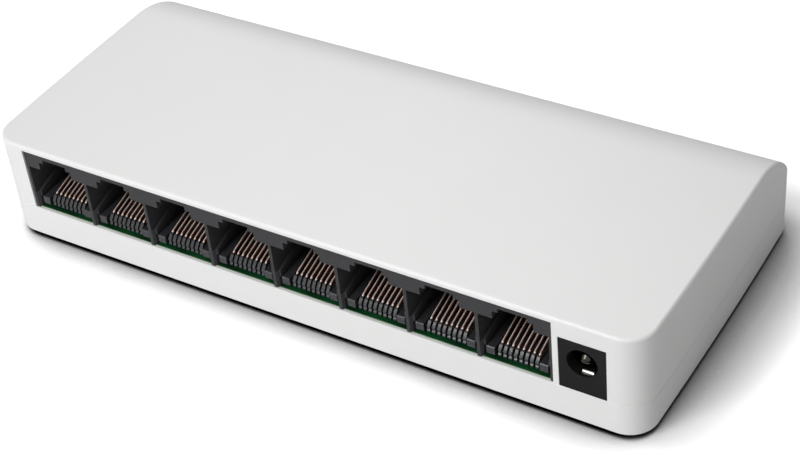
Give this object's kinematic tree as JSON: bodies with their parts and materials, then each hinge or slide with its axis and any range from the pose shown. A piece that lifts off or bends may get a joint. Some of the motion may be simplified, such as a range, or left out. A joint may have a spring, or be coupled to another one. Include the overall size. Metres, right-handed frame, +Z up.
{
  "type": "desktop network switch",
  "caption": "Low white two-shell desktop network switch with a curved rear top edge, a ganged row of network ports and a round power inlet on the front",
  "frame": {"origin": "under the middle of the case, on the surface that the feet stand on", "axes": "+X along the case to the power inlet's side, +Y from the ports to the rear, +Z up"},
  "size_m": [0.1372, 0.065, 0.0228],
  "materials": {
    "white_abs": "moulded satin ABS",
    "black_pbt": "moulded black PBT",
    "rubber": "soft matte",
    "gold_bronze": "gold-plated phosphor bronze",
    "nickel_brass": "nickel-plated brass",
    "fr4": "green solder mask on glass epoxy",
    "epoxy": "moulded black epoxy",
    "crystal_can": "drawn can",
    "ferrite": "pressed ferrite",
    "can_aluminium": "drawn aluminium can",
    "mlcc": "fired ceramic",
    "alumina": "coated alumina",
    "led": "moulded epoxy",
    "clear_pc": "clear polycarbonate",
    "zinc_steel": "zinc-plated"
  },
  "bodies": {
    "switch": {"top_cover": "white_abs", "bottom_cover": "white_abs", "port_housing": "black_pbt", "circuit_board": "fr4", "contact_leads": "gold_bronze", "inlet_body": "black_pbt", "inlet_pin": "nickel_brass", "inlet_terminal": "nickel_brass", "switch_chip": "epoxy", "network_transformers": "epoxy", "crystal": "crystal_can", "power_inductor": "ferrite", "voltage_regulator": "epoxy", "input_diode": "epoxy", "filter_capacitors": "can_aluminium", "chip_capacitors": "mlcc", "chip_resistors": "alumina", "status_leds": "led", "light_guide": "clear_pc", "case_screws": "zinc_steel", "rubber_feet": "rubber", "port_1_insert": "black_pbt", "port_2_insert": "black_pbt", "port_3_insert": "black_pbt", "port_4_insert": "black_pbt", "port_5_insert": "black_pbt", "port_6_insert": "black_pbt", "port_7_insert": "black_pbt", "port_8_insert": "black_pbt"},
    "port_1_springs": {"port_1_contacts": "gold_bronze"},
    "port_2_springs": {"port_2_contacts": "gold_bronze"},
    "port_3_springs": {"port_3_contacts": "gold_bronze"},
    "port_4_springs": {"port_4_contacts": "gold_bronze"},
    "port_5_springs": {"port_5_contacts": "gold_bronze"},
    "port_6_springs": {"port_6_contacts": "gold_bronze"},
    "port_7_springs": {"port_7_contacts": "gold_bronze"},
    "port_8_springs": {"port_8_contacts": "gold_bronze"},
    "inlet_spring": {"inlet_leaf": "nickel_brass"}
  },
  "joints": [
    {"name": "port_1_press", "type": "hinge", "parent": "switch", "child": "port_1_springs", "pos_m": [-0.0535, -0.02935, 0.0101], "axis": [1, 0, 0], "range_deg": [-9, 0], "stiffness_Nm_per_rad": 0.65},
    {"name": "port_2_press", "type": "hinge", "parent": "switch", "child": "port_2_springs", "pos_m": [-0.03952, -0.02935, 0.0101], "axis": [1, 0, 0], "range_deg": [-9, 0], "stiffness_Nm_per_rad": 0.65},
    {"name": "port_3_press", "type": "hinge", "parent": "switch", "child": "port_3_springs", "pos_m": [-0.02556, -0.02935, 0.0101], "axis": [1, 0, 0], "range_deg": [-9, 0], "stiffness_Nm_per_rad": 0.65},
    {"name": "port_4_press", "type": "hinge", "parent": "switch", "child": "port_4_springs", "pos_m": [-0.01158, -0.02935, 0.0101], "axis": [1, 0, 0], "range_deg": [-9, 0], "stiffness_Nm_per_rad": 0.65},
    {"name": "port_5_press", "type": "hinge", "parent": "switch", "child": "port_5_springs", "pos_m": [0.00238, -0.02935, 0.0101], "axis": [1, 0, 0], "range_deg": [-9, 0], "stiffness_Nm_per_rad": 0.65},
    {"name": "port_6_press", "type": "hinge", "parent": "switch", "child": "port_6_springs", "pos_m": [0.01636, -0.02935, 0.0101], "axis": [1, 0, 0], "range_deg": [-9, 0], "stiffness_Nm_per_rad": 0.65},
    {"name": "port_7_press", "type": "hinge", "parent": "switch", "child": "port_7_springs", "pos_m": [0.03033, -0.02935, 0.0101], "axis": [1, 0, 0], "range_deg": [-9, 0], "stiffness_Nm_per_rad": 0.65},
    {"name": "port_8_press", "type": "hinge", "parent": "switch", "child": "port_8_springs", "pos_m": [0.0443, -0.02935, 0.0101], "axis": [1, 0, 0], "range_deg": [-9, 0], "stiffness_Nm_per_rad": 0.65},
    {"name": "inlet_press", "type": "hinge", "parent": "switch", "child": "inlet_spring", "pos_m": [0.0576, -0.02195, 0.0091], "axis": [1, 0, 0], "range_deg": [0, 3.5], "stiffness_Nm_per_rad": 0.35}
  ]
}
